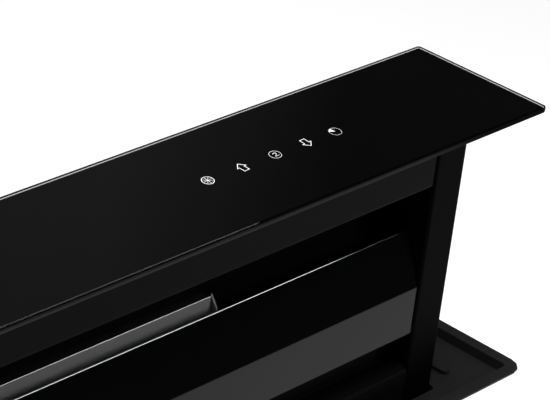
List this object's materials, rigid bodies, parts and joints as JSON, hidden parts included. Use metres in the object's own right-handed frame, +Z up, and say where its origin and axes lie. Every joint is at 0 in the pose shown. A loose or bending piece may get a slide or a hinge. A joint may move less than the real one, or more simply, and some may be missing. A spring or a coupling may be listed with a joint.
{
  "type": "downdraft vent",
  "caption": "Worktop downdraft vent: a slim black tower with a glass top rises by rack and pinion through a steel frame, over a sheet metal housing with a scroll blower.",
  "frame": {"origin": "centre of the bounding box's base, on the cabinet floor", "axes": "+X to the right along the glass, +Y to the back, +Z up; the tower is raised"},
  "size_m": [0.903, 0.304, 0.8575],
  "materials": {
    "black_glass": "polished, opaque black",
    "satin_black_steel": "satin black powder coat",
    "gloss_black_steel": "gloss black enamel",
    "brushed_steel": "brushed along its length",
    "filter_mesh": "expanded mesh, folded",
    "galvanised_steel": "galvanised sheet",
    "turned_steel": "turned",
    "black_plastic": "moulded",
    "grey_plastic": "moulded",
    "white_plastic": "moulded, self-lubricating",
    "rubber": "matt",
    "circuit_board": "solder mask",
    "lens": "frosted"
  },
  "bodies": {
    "housing": {"worktop_frame": "satin_black_steel", "right_rest_pad": "rubber", "left_rest_pad": "rubber", "front_wall": "galvanised_steel", "back_wall": "galvanised_steel", "right_end_wall": "galvanised_steel", "left_end_wall": "galvanised_steel", "housing_floor": "galvanised_steel", "right_floor_bracket": "galvanised_steel", "left_floor_bracket": "galvanised_steel", "right_worktop_clamp": "galvanised_steel", "left_worktop_clamp": "galvanised_steel", "right_guide_rail": "galvanised_steel", "left_guide_rail": "galvanised_steel", "right_shaft_bush": "white_plastic", "left_shaft_bush": "white_plastic", "lift_motor": "turned_steel", "motor_bracket": "galvanised_steel", "scroll_rear": "black_plastic", "scroll_front": "black_plastic", "blower_motor": "turned_steel", "outlet_adapter": "black_plastic", "control_box": "black_plastic", "control_box_lid": "black_plastic", "cable_gland": "black_plastic"},
    "tower": {"top_glass": "black_glass", "head_channel": "satin_black_steel", "head_cover": "satin_black_steel", "led_lens": "lens", "touch_board": "circuit_board", "right_head_bracket": "galvanised_steel", "left_head_bracket": "galvanised_steel", "right_post": "satin_black_steel", "left_post": "satin_black_steel", "back_panel": "satin_black_steel", "front_sill": "satin_black_steel", "right_panel_pin": "turned_steel", "left_panel_pin": "turned_steel", "right_panel_catch": "black_plastic", "left_panel_catch": "black_plastic", "filter_carrier": "satin_black_steel", "filter_rail": "satin_black_steel", "right_rack": "grey_plastic", "left_rack": "grey_plastic", "right_upper_shoe": "white_plastic", "left_upper_shoe": "white_plastic", "right_lower_shoe": "white_plastic", "left_lower_shoe": "white_plastic"},
    "front_panel": {"front_panel": "gloss_black_steel"},
    "filter": {"filter_frame": "brushed_steel", "filter_core": "filter_mesh"},
    "lift_shaft": {"cross_shaft": "turned_steel", "right_lift_pinion": "white_plastic", "left_lift_pinion": "white_plastic", "drive_gear": "white_plastic"},
    "motor_gear": {"motor_gear": "turned_steel"},
    "blower_wheel": {"impeller": "grey_plastic", "blower_shaft": "turned_steel"},
    "flap_rear": {"check_flap_rear": "grey_plastic"},
    "flap_front": {"check_flap_front": "grey_plastic"}
  },
  "joints": [
    {"name": "tower_lift", "type": "slide", "parent": "housing", "child": "tower", "axis": [0, 0, 1], "range_m": [-0.216, 0]},
    {"name": "lift_shaft_spin", "type": "hinge", "parent": "housing", "child": "lift_shaft", "pos_m": [0, 0.0979, 0.3815], "axis": [1, 0, 0], "range_deg": [0, 774]},
    {"name": "motor_gear_spin", "type": "hinge", "parent": "housing", "child": "motor_gear", "pos_m": [0.064, 0.0979, 0.35435], "axis": [1, 0, 0], "range_deg": [-1548, 0]},
    {"name": "front_panel_tilt", "type": "hinge", "parent": "tower", "child": "front_panel", "pos_m": [0, 0.0443, 0.6943], "axis": [1, 0, 0], "range_deg": [0, 60]},
    {"name": "filter_lift", "type": "slide", "parent": "tower", "child": "filter", "axis": [0, 0.1908, 0.9816], "range_m": [0, 0.02]},
    {"name": "blower_spin", "type": "hinge", "parent": "housing", "child": "blower_wheel", "pos_m": [-0.04, 0, 0.19], "axis": [0, 1, 0], "continuous": true},
    {"name": "flap_rear_swing", "type": "hinge", "parent": "housing", "child": "flap_rear", "pos_m": [0.18, -0.04925, 0.2986], "axis": [0, 0, 1], "range_deg": [-80, 0], "stiffness_Nm_per_rad": 0.004},
    {"name": "flap_front_swing", "type": "hinge", "parent": "housing", "child": "flap_front", "pos_m": [0.18, -0.04925, 0.2986], "axis": [0, 0, 1], "range_deg": [0, 80], "stiffness_Nm_per_rad": 0.004}
  ],
  "couplings": [
    {"joint": "lift_shaft_spin", "follows": "tower_lift", "rad_per_m": -62.5},
    {"joint": "motor_gear_spin", "follows": "tower_lift", "rad_per_m": 125}
  ]
}
